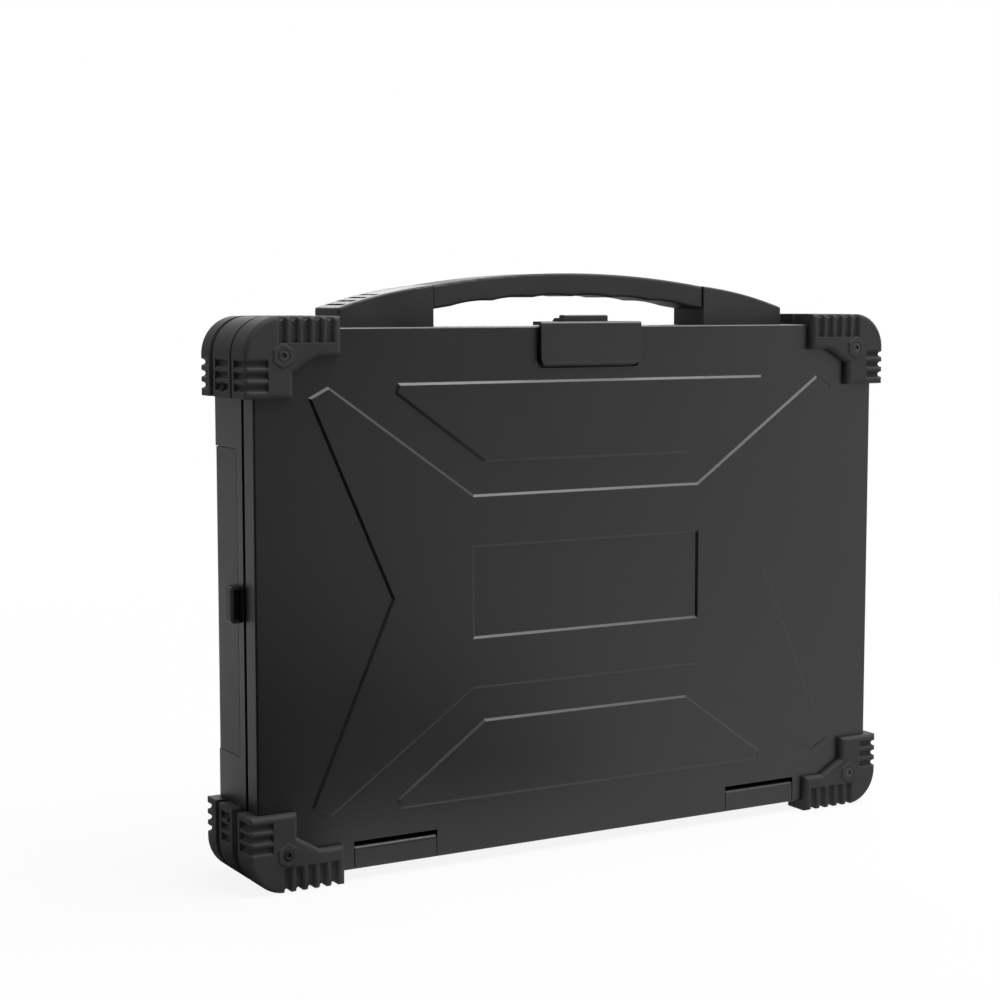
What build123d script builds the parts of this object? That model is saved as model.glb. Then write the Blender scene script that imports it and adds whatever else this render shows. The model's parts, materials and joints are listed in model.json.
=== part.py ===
from build123d import *
from math import hypot, sqrt
import os

os.makedirs("parts", exist_ok=True)

# A foam-lined hard case for a laptop, standing closed on its hinge edge. Millimetres.
# X runs across the case, Y from the lid (-) to the back (+), Z up from the floor.

# the case
case_width = 400.0
case_height = 285.0
case_corner = 14.0
lid_depth = 12.75
seam_gap = 2.5
base_depth = 36.25
bumper_proud = 6.0
front_edge_round = 1.0
back_edge_round = 1.2

# shell walls
wall = 3.0
back_wall = 3.0
lid_wall = 2.5
over = 1.0  # how far a cut runs past the face it opens
rim_width = 8.0  # land for the seal along the top and the sides
rim_depth = 4.0
hinge_rim = 21.0  # solid strip along the hinge edge
hinge_strip_depth = 8.0
mouth_corner = 6.0
slip = 0.02  # radial clearance of a pin that stays put
running = 0.06  # radial clearance of a pin that turns
seat = 0.3  # gap round a loose or soft piece

# hinge
cover_height = 12.5
cover_length = 48.7
cover_margin = 79.4  # case's side to the centre of a cover
cover_side_gap = 0.5
cover_slit = 2.5
cover_edge_round = 2.5
cover_screw_inset = 7.0
cover_screw_bite = 4.0
hinge_inset = 6.0  # hinge axis behind the lid's face
hinge_pin_radius = 2.5
hinge_sleeve_wall = 1.4
hinge_pin_bite = 8.0  # how far the pin runs into the lid beside the cover
sleeve_inset = 0.5
pin_end_bevel = 0.4
swing_clearance = 0.4

# seal in the rim
seal_width = 3.0
seal_inset = 4.0
seal_groove = 1.0
seal_gap = 0.25

# raised pattern on the lid
emboss_height = 1.0
emboss_taper = 55.0
arm_tip_margin = (30.1, 35.7)  # from the case's side and from its top
arm_end_margin = (41.5, 29.9)
centre_half = (73.2, 52.9)
waist_half = 122.5
window_half = (74.1, 25.5)
panel_margin = 29.0
panel_long_half = 118.4
panel_short_half = 66.7
panel_lift = 17.0
panel_nick = (1.8, 5.5)

# corner bumpers
bumper_corner = 20.0
top_arm = 47.5
side_arm = 35.5
top_arm_width = 14.5
side_arm_width = 20.5
elbow = (34.0, 22.5)
bumper_face = 4.4
boss_height = 0.6
boss_radius = 6.5
boss_spot = (15.0, 14.0)
boss_taper = 30.0
bumper_round = 2.5
top_rib_count = 5
rib_pitch_top = 6.65
rib_start_top = 14.7
side_rib_count = 3
rib_pitch_side = 6.0
rib_start_side = 18.0
rib_depth = 2.2
rib_run_top = 7.5  # how far the ribs reach onto the face
rib_run_side = 6.7
rib_land = 2.5  # plain rubber between the ribs and the gap to the next layer
band_back_inset = 14.0
layer_gap = 5.0
screw_shank = 1.5
screw_head = 3.2
screw_head_height = 1.6
boss_head_inset = 0.1  # the cap screws fill their bosses up to this far below the top
band_screw_depth = 10.75  # behind the base's front edge
band_screw_drop = 30.0
band_screw_head = 2.7
band_screw_seat = 1.2  # rubber left under the head

# handle
handle_y = 5.25
block_margin = 55.5  # case's side to the block's outer end
block_length = 56.0
block_depth = 30.0
block_inner_height = 22.1
block_outer_height = 10.0
block_bulge = 1.6
block_round = 1.2
tread_count = 4
tread_pitch = 6.5
tread_width = 2.6
tread_depth = 1.5
tread_length = 21.0
tread_inset = 5.5  # from the block's outer end to the first tread
grip_gap = 0.8
grip_rise = 29.0
grip_thickness = 12.8
grip_depth = 28.0
finger_count = 6
finger_margin = 10.9  # plain part at each end of the grip's underside
finger_hollow = 1.0
knuckle_round = 4.0
grip_round = 1.5
core_thickness = 4.0
core_depth = 16.0
core_tenon = 12.0
bolt_inner_inset = 6.0  # from the block's inner end
bolt_outer_inset = 14.5
bolt_y = 3.25
bolt_cover = 5.0  # plastic left over the inner bolt
bolt_tip_gap = 0.4
bolt_radius = 2.5
bolt_head_radius = 4.25
bolt_head_height = 2.8
bolt_outer_reach = 8.0
pad_thickness = 3.0
pad_inner_inset = 2.0
pad_outer_inset = 4.0
pad_reach = 13.0  # behind the bolts

# latch
plate_half = 32.5
plate_thickness = 2.75
plate_gap = 0.25
plate_corner = 5.5
plate_foot_radius = 8.2  # the plate's foot curves round the latch pin
plate_top_round = 1.5
foot_hollow = 3.6  # hollow in the lid's face that the foot swings into
hollow_corner = 4.5
latch_pin_radius = 1.5
latch_pin_inset = 4.0
latch_pin_drop = 15.0
flange_half = 29.0
flange_thickness = 2.0
flange_gap = 0.5
flange_inset = 0.75
tab_half = 14.3
tab_height = 3.5
tab_depth = 5.0
tab_inset = 3.5
tab_round = 0.8
ear_spacing = 22.0
ear_width = 5.0
ear_radius = 3.4
latch_gap = 0.4
ear_notch = 0.5
trough_half = 26.0
trough_clearance = 1.0
latch_pin_bite = 3.0
housing_half = 38.0
housing_drop = 28.0
claw_half = 12.0
claw_thickness = 3.0
claw_reach = 3.5
claw_strip = 1.8
strike_radius = 20.1
strike_gap = 0.3
claw_side_gap = 0.9
slot_front = 12.0  # the keeper's slot, behind the latch pin
slot_back = 22.0
keeper_half = 24.0
keeper_fit = 0.1
keeper_depth = 15.25
keeper_thickness = 2.0
keeper_block = (26.0, 15.75, 12.0)
keeper_pocket = 4.7
keeper_pocket_inset = 0.8
keeper_screw_inset = 5.0
keeper_screw_length = 8.8
keeper_screw_head = 2.6
keeper_screw_sink = 0.2
keeper_head_height = 1.1
spring_wire = 0.7
spring_half = 9.0
spring_slack = 0.5
rivet_x = 8.0
rivet_radius = 1.1
rivet_head_height = 0.7

# port door in the left side
door_margin = 62.15  # from the case's top and bottom
door_front = 7.25  # its free edge behind the base's front edge
door_thickness = 2.2
door_gap = 0.4
door_barrel = 2.4
door_pin_radius = 0.9
door_pin_bite = 5.0
door_pin_slack = 0.2
frame_width = 9.0
frame_depth = 8.0
door_ledge = 4.0
door_ledge_ends = 5.0
door_back_gap = 0.2
door_seal_thickness = 0.7
door_seal_slack = 0.1
door_seal_inset = 0.5
door_seal_fit = 0.2
pull_half = 9.5
pull_length = 9.0
pull_overhang = 2.5
pull_proud = 5.0
pull_wall = 1.5
pull_round = 1.5

# foam and the laptop's pocket
pocket_side = 18.0  # from the case's side to the laptop's pocket
pocket_below = 23.5
pocket_above = 15.5
pocket_depth = 22.5
lid_foam_depth = 8.0

# places worked out from the sizes above
front = -(lid_depth + seam_gap + base_depth) / 2
lid_back = front + lid_depth
base_front = lid_back + seam_gap
back = base_front + base_depth
bottom = bumper_proud
top = bottom + case_height
mid_z = bottom + case_height / 2
side_x = case_width / 2
mouth_width = case_width - 2 * rim_width
mouth_height = case_height - rim_width - hinge_rim
mouth_z = bottom + hinge_rim + mouth_height / 2
hinge_y = front + hinge_inset
hinge_z = bottom + cover_height / 2
cover_spacing = side_x - cover_margin
cover_inner = cover_spacing - cover_length / 2
cover_outer = cover_spacing + cover_length / 2
notch_inner = cover_inner - cover_side_gap
notch_outer = cover_outer + cover_side_gap
sleeve_radius = hinge_pin_radius + running + hinge_sleeve_wall
lid_reach = hypot(lid_back - hinge_y, hinge_z - bottom)
bumper_reach = hypot(lid_back - hinge_y, hinge_z)
lid_relief = lid_reach + swing_clearance
bumper_relief = bumper_reach + swing_clearance
bumper_inner = side_x - top_arm
strip_back = max(base_front + hinge_strip_depth, hinge_y + bumper_relief + wall)
band_back = back - band_back_inset
rear_cap_front = band_back + layer_gap
latch_y = front + latch_pin_inset
latch_z = top - latch_pin_drop
plate_back = front - plate_gap
plate_front = plate_back - plate_thickness
flange_top = top + flange_gap + flange_thickness
flange_back = lid_back - flange_inset
tab_front = front + tab_inset
tab_back = tab_front + tab_depth
claw_radius = strike_radius + strike_gap
door_low = bottom + door_margin
door_high = top - door_margin
door_edge = base_front + door_front
door_recess = door_thickness + door_back_gap
seal_recess = door_recess + door_seal_thickness + door_seal_slack
rivet_y = (tab_back + flange_back) / 2
barrel_x = -side_x + door_barrel
barrel_y = back - door_barrel
barrel_relief = door_barrel + door_gap
recess_back = barrel_y - barrel_relief - door_seal_inset
window_front = door_edge + door_ledge
window_back = barrel_y - barrel_relief - door_ledge
window_low = door_low + door_ledge_ends
window_high = door_high - door_ledge_ends
keeper_screw_y = base_front + keeper_depth - keeper_screw_inset
keeper_screw_x = keeper_half - keeper_screw_inset
cover_screws = (cover_inner + cover_screw_inset, cover_outer - cover_screw_inset)
foam_back = back - back_wall - seat
foam_front = base_front + rim_depth + seat
block_outer = side_x - block_margin
block_inner = block_outer - block_length
bolt_inner = block_inner + bolt_inner_inset
bolt_outer = block_outer - bolt_outer_inset
pad_inner = block_inner + pad_inner_inset
pad_outer = block_outer - pad_outer_inset
pad_back = bolt_y + pad_reach
grip_half = block_inner - grip_gap
finger_pitch = 2 * (grip_half - finger_margin) / finger_count
pocket_half = side_x - pocket_side
pocket_low = bottom + pocket_below
pocket_high = top - pocket_above
pocket_back = foam_front + pocket_depth
corners = [("top_left", -1, 1), ("top_right", 1, 1), ("bottom_left", -1, -1), ("bottom_right", 1, -1)]
sides = [("left", -1), ("right", 1)]


def at_x(x):
    # plane across X: its own x is Y, its own y is Z
    return Plane.YZ.offset(x)


def at_y(y):
    # plane facing the lid's side: a positive extrude runs towards the lid
    return Plane.XZ.offset(-y)


def case_outline(y, inset=0.0):
    # the case seen from the front, set in all round
    with BuildSketch(at_y(y)) as outline:
        with Locations((0, mid_z)):
            RectangleRounded(case_width - 2 * inset, case_height - 2 * inset, case_corner - inset)
    return outline.sketch


def mouth_outline(y):
    # the opening inside the rim
    with BuildSketch(at_y(y)) as outline:
        with Locations((0, mouth_z)):
            RectangleRounded(mouth_width, mouth_height, mouth_corner)
    return outline.sketch


def seal_outline(y):
    # the ring in the middle of the rim's land
    outer, inner = rim_width - seal_inset, rim_width - seal_inset - seal_width
    with BuildSketch(at_y(y)) as outline:
        with Locations((0, mouth_z)):
            for edge, mode in ((outer, Mode.ADD), (inner, Mode.SUBTRACT)):
                width, height = mouth_width + 2 * edge, mouth_height + 2 * edge
                RectangleRounded(width, height, mouth_corner + edge, mode=mode)
    return outline.sketch


def block(x_low, x_high, y_low, y_high, z_low, z_high, mode=Mode.ADD):
    # a plain block between two corners
    with Locations(((x_low + x_high) / 2, (y_low + y_high) / 2, (z_low + z_high) / 2)):
        Box(x_high - x_low, y_high - y_low, z_high - z_low, mode=mode)


def rod(x_low, x_high, y, z, radius, mode=Mode.ADD):
    # a round bar or bore along X
    with BuildSketch(at_x(x_low)) as section:
        with Locations((y, z)):
            Circle(radius)
    extrude(section.sketch, amount=x_high - x_low, mode=mode)


def post(x, y_low, y_high, z, radius, mode=Mode.ADD):
    # a round bar or bore along Y
    with BuildSketch(at_y(y_high)) as section:
        with Locations((x, z)):
            Circle(radius)
    extrude(section.sketch, amount=y_high - y_low, mode=mode)


def upright(x, y, z_low, z_high, radius, mode=Mode.ADD):
    # a round bar or bore along Z
    with BuildSketch(Plane.XY.offset(z_low)) as section:
        with Locations((x, y)):
            Circle(radius)
    extrude(section.sketch, amount=z_high - z_low, mode=mode)


def door_window(x_low, x_high):
    # the way through behind the port door
    block(x_low, x_high, window_front, window_back, window_low, window_high, Mode.SUBTRACT)


def rib_gaps(centre, outward, along, count, pitch):
    # the air between wavy ribs: crests and valleys of one radius in one chain of arcs
    radius = (pitch * pitch / 16 + rib_depth * rib_depth / 4) / rib_depth
    sag = radius - sqrt(radius * radius - pitch * pitch / 64)
    half = count * pitch / 2
    plane = Plane(origin=centre, x_dir=Vector(outward).cross(Vector(along)), z_dir=along)
    with BuildSketch(plane) as gaps:
        with BuildLine():
            for i in range(count):
                mid = (i + 0.5) * pitch - half
                left, right = mid - pitch / 2, mid + pitch / 2
                fall = (mid - pitch / 4, -rib_depth / 2)
                climb = (mid + pitch / 4, -rib_depth / 2)
                ThreePointArc((left, 0), (left + pitch / 8, -sag), fall)
                ThreePointArc(fall, (mid, -rib_depth), climb)
                ThreePointArc(climb, (right - pitch / 8, -sag), (right, 0))
            Polyline((half, 0), (half, over), (-half, over), (-half, 0))
        make_face()
    return gaps.sketch


def corner_x(side, inset):
    return side * (side_x - inset)


def corner_z(rise, inset):
    return mid_z + rise * (case_height / 2 - inset)


def bumper_outline(y, side, rise):
    # one corner bumper seen from the front, with its two arms and the slanted elbow between them
    points = [
        (-bumper_proud, -bumper_proud),
        (top_arm, -bumper_proud),
        (top_arm, top_arm_width),
        (elbow[0], top_arm_width),
        (side_arm_width, elbow[1]),
        (side_arm_width, side_arm),
        (-bumper_proud, side_arm),
    ]
    tip = (corner_x(side, -bumper_proud), corner_z(rise, -bumper_proud))
    with BuildSketch(at_y(y)) as outline:
        with BuildLine():
            Polyline([(corner_x(side, dx), corner_z(rise, dz)) for dx, dz in points], close=True)
        make_face()
        fillet(outline.vertices().sort_by_distance(tip)[0], bumper_corner)
    return outline.sketch


def cut_wall_ribs(side, rise, y_low, y_high):
    # ribs on the outside walls of a bumper, running front to back
    top_mid = rib_start_top + rib_pitch_top * (top_rib_count - 1) / 2
    side_mid = rib_start_side + rib_pitch_side * (side_rib_count - 1) / 2
    start = (corner_x(side, top_mid), y_low, corner_z(rise, -bumper_proud))
    gaps = rib_gaps(start, (0, 0, rise), (0, 1, 0), top_rib_count, rib_pitch_top)
    extrude(gaps, amount=y_high - y_low, mode=Mode.SUBTRACT)
    start = (corner_x(side, -bumper_proud), y_low, corner_z(rise, side_mid))
    gaps = rib_gaps(start, (side, 0, 0), (0, 1, 0), side_rib_count, rib_pitch_side)
    extrude(gaps, amount=y_high - y_low, mode=Mode.SUBTRACT)


def cut_face_ribs(side, rise, y, facing):
    # ribs on the face of a bumper, running in from its two outer edges
    top_mid = rib_start_top + rib_pitch_top * (top_rib_count - 1) / 2
    side_mid = rib_start_side + rib_pitch_side * (side_rib_count - 1) / 2
    outside = bumper_proud + over
    start = (corner_x(side, top_mid), y, corner_z(rise, -outside))
    gaps = rib_gaps(start, (0, facing, 0), (0, 0, -rise), top_rib_count, rib_pitch_top)
    extrude(gaps, amount=outside + rib_run_top, mode=Mode.SUBTRACT)
    start = (corner_x(side, -outside), y, corner_z(rise, side_mid))
    gaps = rib_gaps(start, (0, facing, 0), (-side, 0, 0), side_rib_count, rib_pitch_side)
    extrude(gaps, amount=outside + rib_run_side, mode=Mode.SUBTRACT)


def add_boss(side, rise, y, facing):
    # the six-sided boss that the corner screw sits in
    spot = (corner_x(side, boss_spot[0]), y, corner_z(rise, boss_spot[1]))
    with BuildSketch(Plane(origin=spot, x_dir=(0, 0, 1), z_dir=(0, facing, 0))) as boss:
        RegularPolygon(boss_radius, 6)
    extrude(boss.sketch, amount=boss_height, taper=boss_taper)


def boss_bore(side, rise, y_low, y_high, radius, mode=Mode.SUBTRACT):
    # a round bar or bore along Y in the middle of the boss
    post(corner_x(side, boss_spot[0]), y_low, y_high, corner_z(rise, boss_spot[1]), radius, mode)


def side_bar(side, rise, low_inset, high_inset, radius, mode=Mode.SUBTRACT):
    # a round bar or bore along X at a band's screw
    low, high = sorted((corner_x(side, low_inset), corner_x(side, high_inset)))
    rod(low, high, base_front + band_screw_depth, corner_z(rise, band_screw_drop), radius, mode)


def plate_outline(low, corner, gap=0.0):
    # the latch plate, or the room round it, seen from the front
    with BuildSketch(at_y(lid_back)) as outline:
        with Locations((0, (low + flange_top) / 2)):
            Rectangle(2 * (plate_half + gap), flange_top - low)
        fillet(outline.vertices().group_by(Axis.Y)[0], corner)
    return outline.sketch


def arc_height(x, half, end_height, mid_height):
    # height at x of a round arch over +-half
    sag = mid_height - end_height
    radius = (half * half + sag * sag) / (2 * sag)
    return mid_height - radius + sqrt(radius * radius - x * x)


# the outsides of the two halves, which the shells are cut from and the bumpers fit round
with BuildPart() as base_blank:
    extrude(case_outline(back), amount=base_depth)
    fillet(base_blank.edges().group_by(Axis.Y)[-1], back_edge_round)

with BuildPart() as lid_blank:
    extrude(case_outline(lid_back), amount=lid_depth)
    fillet(lid_blank.edges().group_by(Axis.Y)[0], front_edge_round)

# ---- base: the deep half, with everything that stays with it

with BuildPart() as base_shell:
    add(base_blank.part)
    hollow_depth = base_depth - back_wall - rim_depth
    extrude(case_outline(back - back_wall, wall), amount=hollow_depth, mode=Mode.SUBTRACT)
    extrude(mouth_outline(base_front + rim_depth), amount=rim_depth, mode=Mode.SUBTRACT)
    # solid strip behind the hinge covers, shaped to the case's lower corners
    with BuildSketch(at_y(strip_back)):
        with Locations((0, mid_z)):
            RectangleRounded(case_width, case_height, case_corner)
        with Locations((0, bottom + hinge_rim / 2)):
            Rectangle(case_width, hinge_rim, mode=Mode.INTERSECT)
    extrude(amount=strip_back - base_front)
    # block under the keeper, pads under the handle, frame round the port door
    half_x, depth_y, drop_z = keeper_block
    block(-half_x, half_x, base_front, base_front + depth_y, top - drop_z, top - wall / 2)
    for name, side in sides:
        low, high = sorted((side * pad_inner, side * pad_outer))
        block(low, high, base_front + rim_depth / 2, pad_back, top - wall - pad_thickness, top - wall / 2)
    block(
        -side_x + wall / 2, -side_x + frame_depth, base_front + rim_depth / 2, back - back_wall / 2,
        door_low - frame_width, door_high + frame_width,
    )
    # groove that the seal sits in
    extrude(seal_outline(base_front + seal_groove), amount=seal_groove, mode=Mode.SUBTRACT)
    # room for the lid's lower edge and its corner bumpers to swing
    rod(-notch_inner, notch_inner, hinge_y, hinge_z, lid_relief, mode=Mode.SUBTRACT)
    for name, side in sides:
        low, high = sorted((side * notch_outer, side * bumper_inner))
        rod(low, high, hinge_y, hinge_z, lid_relief, mode=Mode.SUBTRACT)
        low, high = sorted((side * (bumper_inner - swing_clearance), side * (side_x + over)))
        rod(low, high, hinge_y, hinge_z, bumper_relief, mode=Mode.SUBTRACT)
    # keeper seat and the pocket that the claw drops into
    seat_half, seat_back = keeper_half + keeper_fit, base_front + keeper_depth + keeper_fit
    seat_floor = top - keeper_thickness
    block(-seat_half, seat_half, base_front - over, seat_back, seat_floor, top + over, Mode.SUBTRACT)
    slot_half = claw_half + claw_side_gap
    pocket_front = latch_y + slot_front + keeper_pocket_inset
    block(-slot_half, slot_half, pocket_front, latch_y + slot_back, top - keeper_pocket, top, Mode.SUBTRACT)
    for x in (-keeper_screw_x, keeper_screw_x):
        upright(x, keeper_screw_y, top - keeper_screw_length - seat, top, screw_shank + slip, Mode.SUBTRACT)
    # port door: recess, ledge for its seal, window, and the hollow that its barrel turns in
    gap_low, gap_high, gap_front = door_low - door_gap, door_high + door_gap, door_edge - door_gap
    block(-side_x - over, -side_x + door_recess, gap_front, back + over, gap_low, gap_high, Mode.SUBTRACT)
    recess_low, recess_high = door_low + door_seal_inset, door_high - door_seal_inset
    recess_front = door_edge + door_seal_inset
    block(-side_x, -side_x + seal_recess, recess_front, recess_back, recess_low, recess_high, Mode.SUBTRACT)
    door_window(-side_x, -side_x + frame_depth + over)
    upright(barrel_x, barrel_y, gap_low, gap_high, barrel_relief, Mode.SUBTRACT)
    pin_low, pin_high = door_low - door_pin_bite, door_high + door_pin_bite
    upright(barrel_x, barrel_y, pin_low, pin_high, door_pin_radius + slip, Mode.SUBTRACT)
    # bores for the screws and bolts
    for name, side in sides:
        for x in (bolt_inner, bolt_outer):
            bore_low = top - wall - pad_thickness - over
            upright(side * x, bolt_y, bore_low, top + over, bolt_radius + slip, Mode.SUBTRACT)
        for x in cover_screws:
            post(side * x, base_front - over, strip_back + over, hinge_z, screw_shank + slip, Mode.SUBTRACT)
    for name, side, rise in corners:
        boss_bore(side, rise, back - back_wall - over, back + over, screw_shank + slip)
        side_bar(side, rise, wall + over, -over, screw_shank + slip)
base_shell.part.label = "base_shell"
export_step(base_shell.part, "parts/base_shell.step")

# foam round the laptop: a sheet behind it and four strips
foam_pieces = [
    ("back", -side_x, side_x, pocket_back, foam_back, bottom, top),
    ("top", -side_x, side_x, foam_front, pocket_back, pocket_high, top),
    ("bottom", -side_x, side_x, foam_front, pocket_back, bottom, pocket_low),
    ("left", -side_x, -pocket_half, foam_front, pocket_back, pocket_low, pocket_high),
    ("right", pocket_half, side_x, foam_front, pocket_back, pocket_low, pocket_high),
]
for place, x_low, x_high, y_low, y_high, z_low, z_high in foam_pieces:
    with BuildPart() as foam_piece:
        extrude(case_outline(foam_back, wall + seat), amount=foam_back - foam_front)
        block(x_low, x_high, y_low, y_high, z_low, z_high, Mode.INTERSECT)
        # steps round the shell's strip, block, pads, bolt heads and door frame
        start = foam_front - over
        block(-side_x, side_x, start, strip_back + seat, bottom, bottom + hinge_rim + seat, Mode.SUBTRACT)
        half_x, depth_y, drop_z = (size + seat for size in keeper_block)
        block(-half_x, half_x, start, base_front + depth_y, top - drop_z, top, Mode.SUBTRACT)
        pad_foot = top - wall - pad_thickness - bolt_head_height - 2 * seat
        for name, side in sides:
            low, high = sorted((side * (pad_inner - over), side * (pad_outer + over)))
            block(low, high, start, pad_back + seat, pad_foot, top, Mode.SUBTRACT)
        frame_low, frame_high = door_low - frame_width - seat, door_high + frame_width + seat
        frame_inner = -side_x + frame_depth + seat
        block(-side_x, frame_inner, start, foam_back + over, frame_low, frame_high, Mode.SUBTRACT)
        if place == "left":
            # way from the port door to the laptop's side
            way_inner, way_back = -pocket_half + over, pocket_back + over
            block(-side_x, way_inner, window_front, way_back, window_low, window_high, Mode.SUBTRACT)
    foam_piece.part.label = f"{place}_foam"
    export_step(foam_piece.part, f"parts/{place}_foam.step")

with BuildPart() as rim_seal:
    extrude(seal_outline(base_front + seal_groove), amount=seal_groove + seam_gap - seal_gap)
rim_seal.part.label = "rim_seal"
export_step(rim_seal.part, "parts/rim_seal.step")

for name, side in sides:
    middle = side * cover_spacing
    low, high = middle - cover_length / 2, middle + cover_length / 2

    with BuildPart() as hinge_cover:
        block(low, high, front, base_front, bottom, bottom + cover_height)
        upper = hinge_cover.edges().filter_by(Axis.X).sort_by(Axis.Z)[-2:].sort_by(Axis.Y)[0]
        fillet(upper, cover_edge_round)
        lower = hinge_cover.edges().filter_by(Axis.X).sort_by(Axis.Z)[:2].sort_by(Axis.Y)[0]
        fillet(lower, front_edge_round)
        rod(low - over, high + over, hinge_y, hinge_z, sleeve_radius + slip, Mode.SUBTRACT)
        for x in cover_screws:
            bite = base_front - cover_screw_bite - slip
            post(side * x, bite, base_front + over, hinge_z, screw_shank + slip, Mode.SUBTRACT)
    hinge_cover.part.label = f"hinge_cover_{name}"
    export_step(hinge_cover.part, f"parts/hinge_cover_{name}.step")

    with BuildPart() as hinge_sleeve:
        rod(low + sleeve_inset, high - sleeve_inset, hinge_y, hinge_z, sleeve_radius)
        rod(low, high, hinge_y, hinge_z, hinge_pin_radius + running, mode=Mode.SUBTRACT)
    hinge_sleeve.part.label = f"hinge_sleeve_{name}"
    export_step(hinge_sleeve.part, f"parts/hinge_sleeve_{name}.step")

    # the pin goes in from the case's side, before the corner bumper covers its bore
    with BuildPart() as hinge_pin:
        pin_low, pin_high = sorted((side * (notch_inner - hinge_pin_bite), side * (side_x - case_corner)))
        rod(pin_low, pin_high, hinge_y, hinge_z, hinge_pin_radius)
        chamfer(hinge_pin.edges().filter_by(GeomType.CIRCLE), pin_end_bevel)
    hinge_pin.part.label = f"hinge_pin_{name}"
    export_step(hinge_pin.part, f"parts/hinge_pin_{name}.step")

with BuildPart() as hinge_screws:
    for name, side in sides:
        for x in cover_screws:
            post(side * x, base_front - cover_screw_bite, strip_back, hinge_z, screw_shank)
hinge_screws.part.label = "hinge_screws"
export_step(hinge_screws.part, "parts/hinge_screws.step")

for name, side, rise in corners:
    # the bands beside the hinge start further back, clear of the lid bumpers' swing
    band_front = base_front if rise > 0 else hinge_y + bumper_relief

    with BuildPart() as corner_band:
        extrude(bumper_outline(band_back, side, rise), amount=band_back - band_front)
        extrude(case_outline(back), amount=base_depth + over, mode=Mode.SUBTRACT)
        cut_wall_ribs(side, rise, band_front + rib_land, band_back - rib_land)
        side_bar(side, rise, over, -bumper_proud - over, screw_shank + slip)
        side_bar(side, rise, -band_screw_seat, -bumper_proud - over, band_screw_head + slip)
    corner_band.part.label = f"corner_band_{name}"
    export_step(corner_band.part, f"parts/corner_band_{name}.step")

    with BuildPart() as rear_cap:
        face = back + bumper_face
        extrude(bumper_outline(face, side, rise), amount=face - rear_cap_front)
        fillet(rear_cap.edges().group_by(Axis.Y)[-1], bumper_round)
        add(base_blank.part, mode=Mode.SUBTRACT)
        cut_wall_ribs(side, rise, rear_cap_front + rib_land, face + over)
        cut_face_ribs(side, rise, face, 1)
        add_boss(side, rise, face, 1)
        boss_bore(side, rise, back - over, face + over, screw_shank + slip)
        boss_bore(side, rise, face - screw_head_height, face + over, screw_head + slip)
    rear_cap.part.label = f"rear_cap_{name}"
    export_step(rear_cap.part, f"parts/rear_cap_{name}.step")

    with BuildPart() as lid_cap:
        face = front - bumper_face
        extrude(bumper_outline(lid_back, side, rise), amount=lid_back - face)
        fillet(lid_cap.edges().group_by(Axis.Y)[0], bumper_round)
        add(lid_blank.part, mode=Mode.SUBTRACT)
        cut_wall_ribs(side, rise, face - over, lid_back - rib_land)
        cut_face_ribs(side, rise, face, -1)
        add_boss(side, rise, face, -1)
        boss_bore(side, rise, face - over, front + over, screw_shank + slip)
        boss_bore(side, rise, face - over, face + screw_head_height, screw_head + slip)
    lid_cap.part.label = f"lid_cap_{name}"
    export_step(lid_cap.part, f"parts/lid_cap_{name}.step")

with BuildPart() as band_screws:
    for name, side, rise in corners:
        head_foot = -band_screw_seat
        side_bar(side, rise, wall, head_foot, screw_shank, Mode.ADD)
        side_bar(side, rise, head_foot, head_foot - screw_head_height, band_screw_head, Mode.ADD)
band_screws.part.label = "band_screws"
export_step(band_screws.part, "parts/band_screws.step")

with BuildPart() as rear_cap_screws:
    for name, side, rise in corners:
        head_foot = back + bumper_face - screw_head_height
        head_top = back + bumper_face + boss_height - boss_head_inset
        boss_bore(side, rise, back - back_wall, head_foot, screw_shank, Mode.ADD)
        boss_bore(side, rise, head_foot, head_top, screw_head, Mode.ADD)
rear_cap_screws.part.label = "rear_cap_screws"
export_step(rear_cap_screws.part, "parts/rear_cap_screws.step")

with BuildPart() as lid_cap_screws:
    for name, side, rise in corners:
        head_foot = front - bumper_face + screw_head_height
        head_top = front - bumper_face - boss_height + boss_head_inset
        boss_bore(side, rise, head_foot, front + lid_wall, screw_shank, Mode.ADD)
        boss_bore(side, rise, head_top, head_foot, screw_head, Mode.ADD)
lid_cap_screws.part.label = "lid_cap_screws"
export_step(lid_cap_screws.part, "parts/lid_cap_screws.step")

# ---- handle: two blocks bolted to the top of the base, with a grip moulded on a flat bar

grip_end = block_inner_height - grip_thickness
core_foot = (grip_thickness + core_thickness) / 2  # from the grip's crown to the bar's underside
under_mid = grip_rise - grip_thickness

with BuildPart() as handle_core:
    reach = block_inner + core_tenon
    with BuildSketch(at_y(handle_y + core_depth / 2)):
        with BuildLine():
            low = top + arc_height(reach, grip_half, block_inner_height, grip_rise) - core_foot
            mid = top + grip_rise - core_foot
            for lift in (0, core_thickness):
                ThreePointArc((-reach, low + lift), (0, mid + lift), (reach, low + lift))
            for side in (-1, 1):
                Line((side * reach, low), (side * reach, low + core_thickness))
        make_face()
    extrude(amount=core_depth)
    for side in (-1, 1):
        upright(side * bolt_inner, bolt_y, top, top + grip_rise, bolt_radius + slip, mode=Mode.SUBTRACT)
handle_core.part.label = "handle_core"
export_step(handle_core.part, "parts/handle_core.step")

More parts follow.
